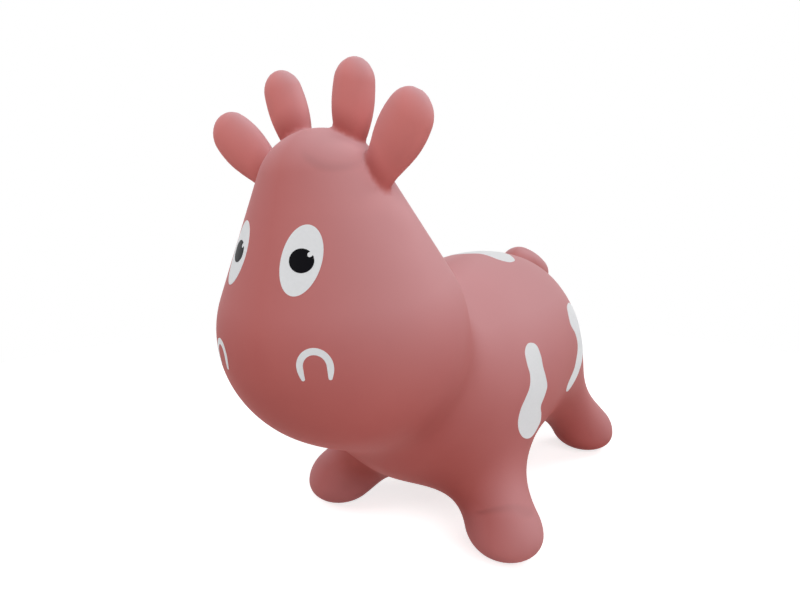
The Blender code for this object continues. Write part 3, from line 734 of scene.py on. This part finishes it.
def vinyl_surface(tree, shader, coordinates, w, roughness, creases=None):
    """Satin surface of soft vinyl: a fine grain from the blasted mould, on a wall a little uneven."""
    # The mould's blasted wall leaves a grain of about 0.3 mm, drawn at 0.9 mm so that it shows.
    grain = add_node(
        tree, "TexNoise", {"Vector": coordinates, "Scale": 1 / w.grain, "Detail": 2}
    )["Fac"]
    spread = 0.04
    gloss = add_node(
        tree, "MapRange",
        {
            "Value": grain, "From Min": 0.3, "From Max": 0.7,
            "To Min": roughness - spread, "To Max": roughness + spread,
        },
    )
    # Air pressure leaves the wall a little uneven, in swells about 30 mm across.
    swells = add_node(
        tree, "TexNoise", {"Vector": coordinates, "Scale": 1 / w.swells, "Detail": 1}
    )["Fac"]
    surface = add_node(
        tree, "Bump", {"Height": swells, "Strength": 0.25, "Distance": w.swell_depth}
    )["Normal"]
    surface = add_node(
        tree, "Bump",
        {"Height": grain, "Strength": 0.12, "Distance": w.grain_depth, "Normal": surface},
    )["Normal"]
    if creases is not None:
        surface = add_node(
            tree, "Bump",
            {"Height": creases, "Strength": 0.6, "Distance": w.crease_depth, "Normal": surface},
            invert=True,
        )["Normal"]
    fill(
        tree, shader,
        {
            "IOR": 1.53, "Specular IOR Level": 0.012, "Roughness": gloss["Result"],
            "Normal": surface,
        },
    )


def rose_vinyl(scene):
    """Rose PVC, moulded in a turning mould: satin, painted paler on what looks up for a dusty film
    and the sheen of light from above, and painted darker red in folds and creases as shade.
    """
    if "rose" in STATE:
        return STATE["rose"]
    s = scene.hopper_skin
    w = scene.hopper_wear
    made, tree, shader, coordinates = new_material("rose PVC, satin moulded")
    STATE["rose"] = made
    axes = add_node(tree, "SeparateXYZ", {"Vector": coordinates})
    # The pigment settles a little unevenly while the mould turns: clouds about 55 mm across.
    clouds = add_node(
        tree, "TexNoise",
        {"Vector": coordinates, "Scale": 1 / w.clouds, "Detail": 3, "Roughness": 0.55},
    )
    pigment = add_node(
        tree, "MapRange", {"Value": clouds["Fac"], "From Min": 0.3, "From Max": 0.7}
    )
    # The walls of the ears and horns get thinner, and the light through them is painted in as a
    # brighter, redder tone.
    away = add_node(tree, "VectorMath", {0: coordinates, 1: s.crown}, operation="DISTANCE")
    wall = add_node(
        tree, "MapRange",
        {"Value": away["Value"], "From Min": w.thin_start, "From Max": w.thin_end},
        interpolation_type="SMOOTHSTEP",
    )
    start, end = s.crown[2] - w.thin_below, s.crown[2] + w.thin_above
    upper = add_node(tree, "MapRange", {"Value": axes["Z"], "From Min": start, "From Max": end})
    thin = add_node(tree, "Math", {0: wall["Result"], 1: upper["Result"]}, operation="MULTIPLY")
    # Creases and folds are painted full red: painted shade where less light reaches.
    creases = skin_creases(tree, coordinates, axes["Z"], w)
    crease_shade = add_node(tree, "Math", {0: creases, 1: w.crease_shade_share}, operation="MULTIPLY")
    folds = add_node(tree, "Attribute", {}, attribute_name=FOLD)["Fac"]
    # Tones mixed in: clouds of pigment, painted light through thin walls, painted shade in creases
    # and folds, and the dusty film with painted sheen
    tone = (*s.vinyl_deep, 1)
    for amount, tint in (
        (pigment["Result"], s.vinyl),
        (thin["Value"], s.vinyl_thin_glow),
        (crease_shade["Value"], s.vinyl_fold_shade),
        (folds, s.vinyl_fold_shade),
        (dust_and_sheen(tree, axes, folds, w), s.dust_and_sheen_tone),
    ):
        inputs = {"Factor": amount, "A": tone, "B": (*tint, 1)}
        tone = add_node(tree, "Mix", inputs, data_type="RGBA")["Result"]
    fill(tree, shader, {"Base Color": tone})
    vinyl_surface(tree, shader, coordinates, w, roughness=0.46, creases=creases)
    return made


def clear_vinyl(scene):
    """PVC with little pigment, moulded smooth: even in tone and glossier than the skin."""
    made, tree, shader, coordinates = new_material("clear rose PVC, moulded")
    fill(tree, shader, {"Base Color": (*scene.hopper_valve.clear, 1)})
    vinyl_surface(tree, shader, coordinates, scene.hopper_wear, roughness=0.3)
    return made


def printed_ink(scene, name, tone, roughness, shine):
    """Ink sprayed through a mask: an even satin coat with a faint orange-peel surface."""
    if name in STATE:
        return STATE[name]
    w = scene.hopper_wear
    made, tree, shader, coordinates = new_material(name)
    STATE[name] = made
    # Spray lies in drops that flow together, with swells about 2.5 mm across.
    drops = add_node(
        tree, "TexNoise", {"Vector": coordinates, "Scale": 1 / w.drops, "Detail": 2}
    )["Fac"]
    thin = [value * w.thin_ink for value in tone]
    coat = add_node(
        tree, "Mix", {"Factor": drops, "A": (*thin, 1), "B": (*tone, 1)}, data_type="RGBA"
    )
    spread = 0.05
    gloss = add_node(
        tree, "MapRange",
        {"Value": drops, "To Min": roughness - spread, "To Max": roughness + spread},
    )
    peel = add_node(tree, "Bump", {"Height": drops, "Strength": 0.1, "Distance": w.grain_depth})
    fill(
        tree, shader,
        {
            "IOR": 1.5, "Specular IOR Level": shine, "Base Color": coat["Result"],
            "Roughness": gloss["Result"], "Normal": peel["Normal"],
        },
    )
    return made


def white_ink(scene):
    tone = scene.hopper_print.white
    return printed_ink(scene, "white ink, satin", tone, roughness=0.5, shine=0.3)


def black_ink(scene):
    tone = scene.hopper_print.black
    return printed_ink(scene, "black ink, satin", tone, roughness=0.36, shine=0.06)


def moulded_plug(scene):
    """Low-density polyethylene, injection moulded: waxy white with a soft sheen."""
    w = scene.hopper_wear
    tone = scene.hopper_valve.plug
    made, tree, shader, coordinates = new_material("polyethylene, moulded")
    # The melt sets in faint milky clouds about 4 mm across.
    flow = add_node(
        tree, "TexNoise", {"Vector": coordinates, "Scale": 1 / w.flow, "Detail": 2}
    )["Fac"]
    shade = [value * w.milky for value in tone]
    milky = add_node(
        tree, "Mix", {"Factor": flow, "A": (*shade, 1), "B": (*tone, 1)}, data_type="RGBA"
    )
    gloss = add_node(tree, "MapRange", {"Value": flow, "To Min": 0.32, "To Max": 0.46})
    fill(tree, shader, {"IOR": 1.51, "Base Color": milky["Result"], "Roughness": gloss["Result"]})
    return made


# Pieces


def grip_places(scene):
    """Name, root, tip and seam height of each ear and horn."""
    g = scene.hopper_grips
    for side, word in SIDES:
        mirror = np.array((side, 1, 1))
        yield f"{word}_ear", mirror * g.ear_root[:], mirror * g.ear_tip[:], g.ear_seam
        yield f"{word}_horn", mirror * g.horn_root[:], mirror * g.horn_tip[:], g.horn_seam


def grip_value(points, root, tip, seam, room):
    """Above 0 on the part of a grip that lies beyond its seam."""
    axis = (tip - root) / np.linalg.norm(tip - root)
    along = (points - root) @ axis
    off = np.linalg.norm(points - root - along[:, None] * axis, axis=1)
    return np.minimum(along - seam, room - off)


def valve_centre():
    low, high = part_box("valve")
    return (low + high) / 2


class HOPPER_OT_skin(bpy.types.Operator):
    """Mould the trunk, head, legs and tail as one soft skin"""

    bl_idname = "hopper.skin"
    bl_label = "Moulded skin"

    def execute(self, context):
        scene = context.scene
        calf = Calf(scene)
        cell = scene.hopper_skin.cell
        margin = Vector((1, 1, 1)) * MARGIN_CELLS * cell
        low, high = CAD_BOX[0] - margin, CAD_BOX[1] + margin
        points, faces = shell(calf.distance, low, high, cell)
        points = calf.onto(points)
        STATE["surface"] = points, faces
        room = scene.hopper_grips.room
        for _name, root, tip, seam in grip_places(scene):
            points, faces = trim(points, faces, -grip_value(points, root, tip, seam, room))
        valve = scene.hopper_valve
        centre = valve_centre()
        hole = valve.ring_radius + valve.hole_gap
        off = np.hypot(points[:, 0] - centre.x, points[:, 1] - centre.y)
        high_up = points[:, 2] > scene.hopper_skin.trunk_centre[2]
        points, faces = trim(points, faces, np.where(high_up, hole, off - hole))
        points = calf.onto(points)
        skin = new_piece("moulded_skin", points, faces, rose_vinyl(scene), calf)
        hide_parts(*SKIN_NODES)
        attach(skin, "skin")
        return {"FINISHED"}


class HOPPER_OT_grips(bpy.types.Operator):
    """Part the ears and horns from the skin at their roots"""

    bl_idname = "hopper.grips"
    bl_label = "Ears and horns"

    def execute(self, context):
        scene = context.scene
        if "surface" not in STATE:
            raise RuntimeError("Make the moulded skin first: the grips are parted from it")
        calf = Calf(scene)
        g = scene.hopper_grips
        for name, root, tip, seam in grip_places(scene):
            points, faces = STATE["surface"]
            points, faces = trim(points, faces, grip_value(points, root, tip, seam, g.room))
            points = calf.onto(points)
            grip = new_piece(f"{name}_grip", points, faces, rose_vinyl(scene), calf)
            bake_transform(grip)
            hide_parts(name)
        return {"FINISHED"}


def print_frame(calf, spot, up, lean=0):
    """Place on the skin under a spot, with the directions across, up and out of the skin."""
    base = calf.onto(np.array([spot[:]]))
    out = calf.normals(base)[0]
    across = np.cross(up, out)
    across /= np.linalg.norm(across)
    across = math.cos(lean) * across - math.sin(lean) * np.cross(out, across)
    return base[0], across, np.cross(out, across), out


def lay_film(scene, name, where, value, half, step, level, finish, node):
    """Film of ink over the part of the skin where a value of (across, up) is above 0."""
    calf = Calf(scene)
    p = scene.hopper_print
    base, across, up, out = where
    columns = np.arange(-half[0], half[0] + step, step)
    rows = np.arange(-half[1], half[1] + step, step)
    flat = np.stack(np.meshgrid(columns, rows, indexing="ij"), -1).reshape(-1, 2)
    number = np.arange(len(flat)).reshape(len(columns), len(rows))
    a, b, c, d = number[:-1, :-1], number[1:, :-1], number[1:, 1:], number[:-1, 1:]
    squares = np.stack([a, b, c, d], -1).reshape(-1, 4)
    faces = np.concatenate([squares[:, [0, 1, 2]], squares[:, [0, 2, 3]]])
    flat, faces = trim(flat, faces, value(flat))
    start = base + flat[:, :1] * across + flat[:, 1:] * up + max(half) * out
    points = calf.along(start, -out)
    normals = calf.normals(points)
    points, faces = sheet_solid(points, faces, normals, level * p.film, p.film)
    film = new_piece(name, points, faces, finish)
    film.data.set_sharp_from_angle(angle=SHARP_EDGE)
    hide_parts(node)
    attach(film, "skin")


def within_ellipse(half_width, half_height):
    """Function that is above 0 inside an upright ellipse, about in metres."""
    return lambda flat: half_width * (1 - np.linalg.norm(flat / (half_width, half_height), axis=1))


def within_outline(corners, samples=10):
    """Function that is above 0 inside a smooth closed curve through the corners, in metres."""
    before, after, later = (np.roll(corners, -i, axis=0) for i in (-1, 1, 2))
    t = np.linspace(0, 1, samples, endpoint=False)[None, :, None]
    first, last = corners[:, None], after[:, None]
    leave = (after - before)[:, None] / 2
    arrive = (later - corners)[:, None] / 2
    curve = (
        (2 * t**3 - 3 * t**2 + 1) * first + (t**3 - 2 * t**2 + t) * leave
        + (3 * t**2 - 2 * t**3) * last + (t**3 - t**2) * arrive
    ).reshape(-1, 2)

    def value(flat):
        start, end = curve[None], np.roll(curve, -1, axis=0)[None]
        line = end - start
        reach = flat[:, None] - start
        part = np.clip((reach * line).sum(-1) / (line**2).sum(-1), 0, 1)[..., None]
        near = np.linalg.norm(reach - part * line, axis=-1).min(1)
        above = (start[..., 1] > flat[:, None, 1]) != (end[..., 1] > flat[:, None, 1])
        rise = np.where(line[..., 1] == 0, 1, line[..., 1])
        cross = start[..., 0] + line[..., 0] * reach[..., 1] / rise
        inside = (above & (flat[:, None, 0] < cross)).sum(1) % 2 == 1
        return np.where(inside, near, -near)

    return value


class HOPPER_OT_face(bpy.types.Operator):
    """Print the eyes with their pupils, and the nostrils"""

    bl_idname = "hopper.face"
    bl_label = "Printed face"

    def execute(self, context):
        scene = context.scene
        calf = Calf(scene)
        p = scene.hopper_print
        white = white_ink(scene)
        black = black_ink(scene)
        upright = np.array((0, 0, 1))
        glint = np.array((p.glint_side, p.glint_up))
        ball = within_ellipse(p.pupil_half_width, p.pupil_half_height)

        def pupil(flat):
            dot = np.linalg.norm(flat - glint, axis=1) - p.glint_radius
            return np.minimum(ball(flat), dot)

        def bow(flat):
            part = np.clip(-flat[:, 1] / p.nostril_drop, 0, 1)
            ring = np.abs(np.linalg.norm(flat, axis=1) - p.nostril_radius)
            aside = np.abs(flat[:, 0]) - p.nostril_radius + p.nostril_bend * part**2
            below = np.maximum(-flat[:, 1] - p.nostril_drop, 0)
            off = np.where(flat[:, 1] > 0, ring, np.hypot(aside, below))
            return p.nostril_stroke / 2 * (1 - p.nostril_taper * part**2) - off

        for word, eye, dark, lean, nostril, tip in (
            ("left", p.left_eye, p.left_pupil, p.left_eye_lean, p.left_nostril, -p.nostril_lean),
            ("right", p.right_eye, p.right_pupil, p.right_eye_lean, p.right_nostril, 0),
        ):
            half = (p.eye_half_width, p.eye_half_height)
            lay_film(
                scene, f"{word}_eye_ink", print_frame(calf, eye, upright, lean),
                within_ellipse(*half), half, p.step, 1, white, f"{word}_eye_white",
            )
            half = (p.pupil_half_width, p.pupil_half_height)
            lay_film(
                scene, f"{word}_pupil_ink", print_frame(calf, dark, upright, lean), pupil, half,
                p.fine_step, 2, black, f"{word}_pupil",
            )
            reach = p.nostril_radius + p.nostril_drop + p.nostril_stroke
            lay_film(
                scene, f"{word}_nostril_ink", print_frame(calf, nostril, upright, tip), bow,
                (reach, reach), p.fine_step, 1, white, f"{word}_nostril",
            )
        return {"FINISHED"}


# Outlines in millimetres, towards the tail and up, or for the saddle to the left and to the tail
FLANK_PATCH = (
    (6, 45), (18, 42), (22, 31), (23, 19), (27, 8), (31, -4), (27, -14), (22, -24), (28, -35),
    (32, -45), (26, -52), (14, -55), (2, -54), (-10, -49), (-18, -40), (-21, -29), (-18, -17),
    (-11, -7), (-4, 3), (-2, 15), (-4, 26), (-3, 38),
)
RUMP_PATCH = (
    (18, 46), (-1, 44), (-11, 37), (-17, 28), (-17, 22), (-9, 12), (-6, 1), (-8, -8), (-15, -19),
    (-20, -29), (-31, -39), (-33, -46), (-28, -53), (-14, -56), (2, -46), (14, -35), (29, -24),
    (45, -12), (51, 8), (49, 28), (36, 42),
)
SADDLE_PATCH = (
    (44, 5), (43, -4), (38, -10), (31, -12), (22, -10), (13, -7), (5, -6), (-5, -10), (-15, -12),
    (-29, -9), (-41, 3), (-44, 18), (-34, 31), (-16, 36), (3, 44), (21, 42), (33, 30), (42, 16),
)
# What the curve between two corners may reach past them
PATCH_MARGIN = 0.006


class HOPPER_OT_patches(bpy.types.Operator):
    """Print the patches on the flanks, the rump and the back"""

    bl_idname = "hopper.patches"
    bl_label = "Printed patches"

    def execute(self, context):
        scene = context.scene
        calf = Calf(scene)
        p = scene.hopper_print
        upright = np.array((0, 0, 1))
        laid = []
        for side, word in SIDES:
            mirror = np.array((side, 1, 1))
            for kind, spot, outline in (
                ("flank_patch", p.flank, FLANK_PATCH), ("rump_patch", p.rump, RUMP_PATCH),
            ):
                sided = np.array(outline) / 1000 * (side, 1)
                laid.append((f"{word}_{kind}", mirror * spot[:], upright, sided))
        tailward = np.array((0, 1, 0))
        laid.append(("saddle_patch", np.array(p.saddle), tailward, np.array(SADDLE_PATCH) / 1000))
        for node, spot, up, outline in laid:
            where = print_frame(calf, spot, up)
            half = np.abs(outline).max(0) + PATCH_MARGIN
            lay_film(
                scene, f"{node}_ink", where, within_outline(outline), half, p.step, 1,
                white_ink(scene), node,
            )
        return {"FINISHED"}


class HOPPER_OT_valve(bpy.types.Operator):
    """Turn the air valve and the stopper that closes it"""

    bl_idname = "hopper.valve"
    bl_label = "Valve and stopper"

    def execute(self, context):
        scene = context.scene
        v = scene.hopper_valve
        low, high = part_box("valve")
        flange_radius = (high.x - low.x) / 2
        centre = valve_centre()
        top, rim = high.z - centre.z, low.z - centre.z
        profile = [
            (v.bore, top), (v.ring_radius, top), (v.ring_radius, 0), (flange_radius, 0),
            (flange_radius, -v.flange), (v.ring_radius, -v.flange), (v.ring_radius, rim),
            (v.bore, rim),
        ]
        valve = turned_piece("valve_neck", profile, centre, v.steps, v.edge, clear_vinyl(scene))
        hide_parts("valve")
        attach(valve, "skin")

        low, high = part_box("stopper")
        cap_radius = (high.x - low.x) / 2
        shank, rib = v.bore - v.shank_gap, v.bore - v.rib_gap
        tall = high.z - low.z
        profile = [(0, 0), (cap_radius, 0), (cap_radius, v.cap_height), (shank, v.cap_height)]
        for count in range(1, v.ribs + 1):
            height = v.cap_height + count * v.rib_pitch
            profile += [(shank, height - v.rib_half), (rib, height), (shank, height + v.rib_half)]
        profile += [(shank, tall), (0, tall)]
        base = Vector((centre.x, centre.y, low.z))
        plug = moulded_plug(scene)
        stopper = turned_piece("belly_stopper", profile, base, v.steps, v.edge, plug)
        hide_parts("stopper")
        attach(stopper, "stopper")
        return {"FINISHED"}


def seen_rays(tree):
    """1 for rays that show the background, straight, mirrored or through something clear."""
    rays = add_node(tree, "LightPath", {})
    seen = rays["Is Camera Ray"]
    for kind in ("Is Glossy Ray", "Is Transmission Ray"):
        seen = add_node(tree, "Math", {0: seen, 1: rays[kind]}, operation="MAXIMUM")["Value"]
    return seen


class HOPPER_OT_stage(bpy.types.Operator):
    """Set the floor, the soft light and the camera"""

    bl_idname = "hopper.stage"
    bl_label = "Stage"

    def execute(self, context):
        scene = context.scene
        s = scene.hopper_stage
        scene.view_settings.view_transform = "Standard"
        self.lay_floor(s)
        self.light_sky(scene, s)
        for name, spot, level in (
            ("top_lamp", (0, 0, 1.6), s.top),
            ("near_side_lamp", (1.0, -0.9, 1.0), s.near_side),
            ("rear_lamp", (0.9, 1.1, 1.2), s.rear),
            ("far_side_lamp", (-1.0, -0.9, 1.0), s.far_side),
        ):
            self.hang_lamp(name, Vector(spot), Vector(s.aim), s.lamp_size, level)
        data = bpy.data.cameras.new("photo_camera")
        data.sensor_width = 36
        data.lens = s.focal / s.frame_width * data.sensor_width
        camera = put("photo_camera", data)
        camera.location = s.camera
        camera.rotation_euler = (math.pi / 2 - s.pitch, 0, s.azimuth)
        scene.camera = camera
        return {"FINISHED"}

    def lay_floor(self, s):
        shape = bmesh.new()
        bmesh.ops.create_circle(
            shape, cap_ends=True, segments=s.floor_steps, radius=s.floor_radius
        )
        mesh = bpy.data.meshes.new("floor")
        shape.to_mesh(mesh)
        shape.free()
        made, tree, shader, _coordinates = new_material("pale floor, matt")
        glow = add_node(tree, "Math", {0: seen_rays(tree), 1: s.floor_glow}, operation="MULTIPLY")
        fill(
            tree, shader,
            {
                "Base Color": (*s.floor, 1), "Roughness": 0.9, "Emission Color": (1, 1, 1, 1),
                "Emission Strength": glow["Value"],
            },
        )
        mesh.materials.append(made)
        floor = put("floor", mesh)

    def light_sky(self, scene, s):
        world = bpy.data.worlds.new("studio")
        scene.world = world
        world.use_nodes = True
        tree = world.node_tree
        level = add_node(tree, "MapRange", {"Value": seen_rays(tree), "To Min": s.sky})
        fill(
            tree, tree.nodes["Background"],
            {"Color": (1, 1, 1, 1), "Strength": level["Result"]},
        )

    def hang_lamp(self, name, spot, aim, size, level):
        data = bpy.data.lights.new(name, "AREA")
        data.shape = "DISK"
        data.size = size
        # Power that lights a white sheet at the aim, turned to the lamp, to that level
        data.energy = level * math.pi**2 * (spot - aim).length_squared
        lamp = put(name, data)
        lamp.location = spot
        lamp.rotation_euler = (aim - spot).to_track_quat("-Z", "Y").to_euler()


SETTINGS = {
    "hopper_skin": HopperSkinSettings,
    "hopper_wear": HopperSurfaceSettings,
    "hopper_grips": HopperGripSettings,
    "hopper_print": HopperPrintSettings,
    "hopper_valve": HopperValveSettings,
    "hopper_stage": HopperStageSettings,
}
OPERATORS = (
    HOPPER_OT_skin, HOPPER_OT_grips, HOPPER_OT_face, HOPPER_OT_patches, HOPPER_OT_valve,
    HOPPER_OT_stage,
)


class HOPPER_PT_panel(bpy.types.Panel):
    """Sidebar list of the hopper's operators"""

    bl_idname = "HOPPER_PT_panel"
    bl_label = "Animal hopper"
    bl_space_type = "VIEW_3D"
    bl_region_type = "UI"
    bl_category = "Hopper"

    def draw(self, context):
        for operator in OPERATORS:
            self.layout.operator(operator.bl_idname)


CLASSES = (*SETTINGS.values(), *OPERATORS, HOPPER_PT_panel)


def register():
    for made in CLASSES:
        bpy.utils.register_class(made)
    for name, group in SETTINGS.items():
        setattr(bpy.types.Scene, name, PointerProperty(type=group))


def unregister():
    for name in SETTINGS:
        delattr(bpy.types.Scene, name)
    for made in reversed(CLASSES):
        bpy.utils.unregister_class(made)


def main():
    register()
    bpy.ops.hopper.skin()
    bpy.ops.hopper.grips()
    bpy.ops.hopper.face()
    bpy.ops.hopper.patches()
    bpy.ops.hopper.valve()
    bpy.ops.hopper.stage()


if __name__ == "__main__":
    main()
